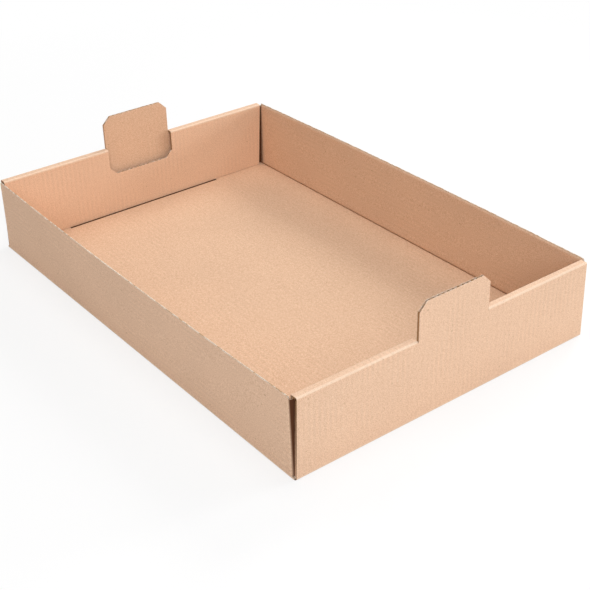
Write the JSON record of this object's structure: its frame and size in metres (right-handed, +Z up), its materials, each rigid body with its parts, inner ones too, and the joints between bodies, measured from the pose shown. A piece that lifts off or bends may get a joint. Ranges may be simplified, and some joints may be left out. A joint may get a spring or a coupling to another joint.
{
  "type": "card mountable tray",
  "caption": "Shallow rectangular tray folded from one sheet of kraft corrugated board, with double end walls and a stacking tab standing up from each end.",
  "frame": {"origin": "centre of the tray's footprint, on its underside", "axes": "+X runs across the end walls that carry the tabs, +Y across the single long walls, +Z up"},
  "size_m": [0.6, 0.408, 0.135],
  "materials": {
    "kraft_board": "matt brown kraft liner with cut edges that show the flutes"
  },
  "bodies": {
    "root": {"folded_tray": "kraft_board"}
  },
  "joints": []
}
